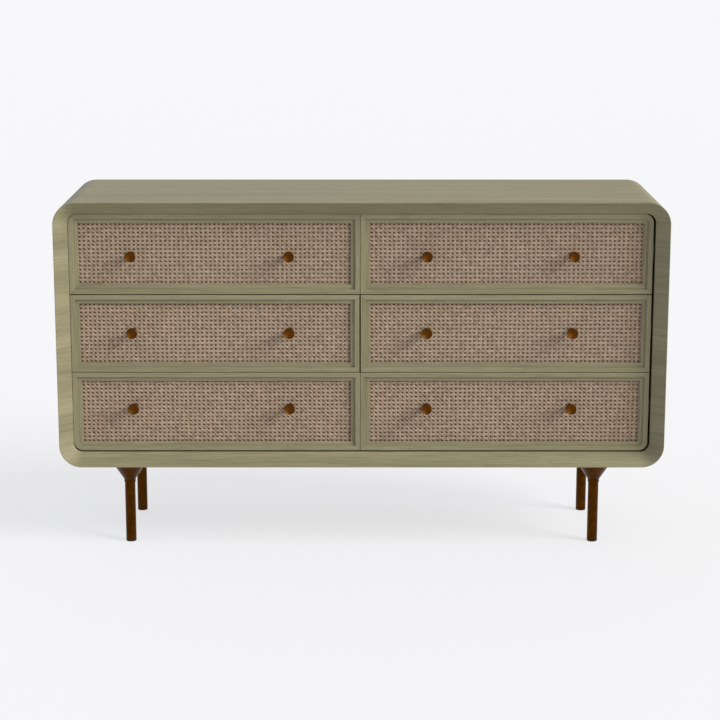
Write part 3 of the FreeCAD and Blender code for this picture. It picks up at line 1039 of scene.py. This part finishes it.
CAMERA_PLACE = (-0.0003, -5.2686, 1.5963)
CAMERA_DOWN = 12.315             # degrees below level
CAMERA_TURN = 0.044              # degrees to the left
CAMERA_LENS = 103.44
CAMERA_SENSOR = 36
KEY_WAY = (0.79, -0.37, 0.48)    # from the dresser to the light
KEY_ENERGY = 3.85
KEY_ANGLE = 30                   # degrees across, so that the shadows are soft
SKY_LOW = 1.14                   # strength of the light from the sides
SKY_HIGH = 1.065                 # and from straight above
FLOOR_SIZE = 160


class DRESSER_OT_stage(bpy.types.Operator):
    """Floor, light and camera"""

    bl_idname = "dresser.stage"
    bl_label = "Stage"

    def execute(self, context):
        only()
        bpy.ops.mesh.primitive_plane_add(size=FLOOR_SIZE, location=(0, 0, 0))
        floor = bpy.context.object
        floor.name = "studio_floor"
        made, tree, shader = new_material("pale_floor")
        mottle = add_node(tree, "ShaderNodeTexNoise",
                          {"Vector": in_the_frame(tree), "Scale": 0.7, "Detail": 2.0})
        ramp = add_node(tree, "ShaderNodeValToRGB", {"Fac": mottle.outputs["Fac"]})
        ramp.color_ramp.elements[0].color = [share * 0.99 for share in colours().floor[:3]] + [1.0]
        ramp.color_ramp.elements[1].color = colours().floor
        tree.links.new(ramp.outputs["Color"], shader.inputs["Base Color"])
        shader.inputs["Roughness"].default_value = 0.9
        shader.inputs["Specular IOR Level"].default_value = 0.1
        shader.inputs["Emission Color"].default_value = colours().floor_glow
        shader.inputs["Emission Strength"].default_value = 1.0
        floor.data.materials.append(made)

        world = bpy.data.worlds.new("soft_studio")
        context.scene.world = world
        world.use_nodes = True
        tree = world.node_tree
        tree.nodes.clear()
        place = add_node(tree, "ShaderNodeTexCoord").outputs["Generated"]
        way = add_node(tree, "ShaderNodeSeparateXYZ", {0: place})
        glow = add_node(tree, "ShaderNodeMapRange", {
            "Value": way.outputs["Z"], "From Min": 0.0, "From Max": 1.0,
            "To Min": SKY_LOW, "To Max": SKY_HIGH})
        across = add_node(tree, "ShaderNodeMapRange", {
            "Value": way.outputs["X"], "From Min": -0.9, "From Max": 0.1})
        tint = add_node(tree, "ShaderNodeMix", {
            0: across.outputs[0], 6: colours().sky_left, 7: colours().sky_right}, data_type="RGBA")
        sky = add_node(tree, "ShaderNodeBackground", {"Color": tint.outputs[2], "Strength": glow.outputs[0]})
        add_node(tree, "ShaderNodeOutputWorld", {"Surface": sky.outputs[0]})

        only()
        bpy.ops.object.light_add(type="SUN", location=(3, -3, 2))
        key = bpy.context.object
        key.name = "key_light"
        key.data.energy = KEY_ENERGY
        key.data.angle = math.radians(KEY_ANGLE)
        key.rotation_euler = Vector(KEY_WAY).to_track_quat("Z", "Y").to_euler()

        only()
        bpy.ops.object.camera_add(location=CAMERA_PLACE)
        camera = bpy.context.object
        camera.name = "front_camera"
        camera.data.lens = CAMERA_LENS
        camera.data.sensor_width = CAMERA_SENSOR
        camera.rotation_euler = (math.radians(90 - CAMERA_DOWN), 0, math.radians(CAMERA_TURN))
        context.scene.camera = camera
        context.scene.view_settings.view_transform = "Standard"
        return {"FINISHED"}


class DRESSER_PT_panel(bpy.types.Panel):
    """The dresser's pieces and sizes"""

    bl_idname = "DRESSER_PT_panel"
    bl_label = "Dresser"
    bl_space_type = "VIEW_3D"
    bl_region_type = "UI"
    bl_category = "Dresser"

    def draw(self, context):
        for operator in OPERATORS:
            self.layout.operator(operator.bl_idname)
        for group in (context.scene.dresser_sizes, context.scene.dresser_colours):
            for name in group.__annotations__:
                self.layout.prop(group, name)


OPERATORS = (
    DRESSER_OT_case,
    DRESSER_OT_fronts,
    DRESSER_OT_cane,
    DRESSER_OT_knobs,
    DRESSER_OT_boxes,
    DRESSER_OT_legs,
    DRESSER_OT_hidden,
    DRESSER_OT_stage,
)
CLASSES = (DresserSizes, DresserColours) + OPERATORS + (DRESSER_PT_panel,)


def register():
    for kind in CLASSES:
        bpy.utils.register_class(kind)
    bpy.types.Scene.dresser_sizes = bpy.props.PointerProperty(type=DresserSizes)
    bpy.types.Scene.dresser_colours = bpy.props.PointerProperty(type=DresserColours)


def unregister():
    del bpy.types.Scene.dresser_colours
    del bpy.types.Scene.dresser_sizes
    for kind in reversed(CLASSES):
        bpy.utils.unregister_class(kind)


def main():
    register()
    for operator in OPERATORS:
        group, name = operator.bl_idname.split(".")
        getattr(getattr(bpy.ops, group), name)()


if __name__ == "__main__":
    main()
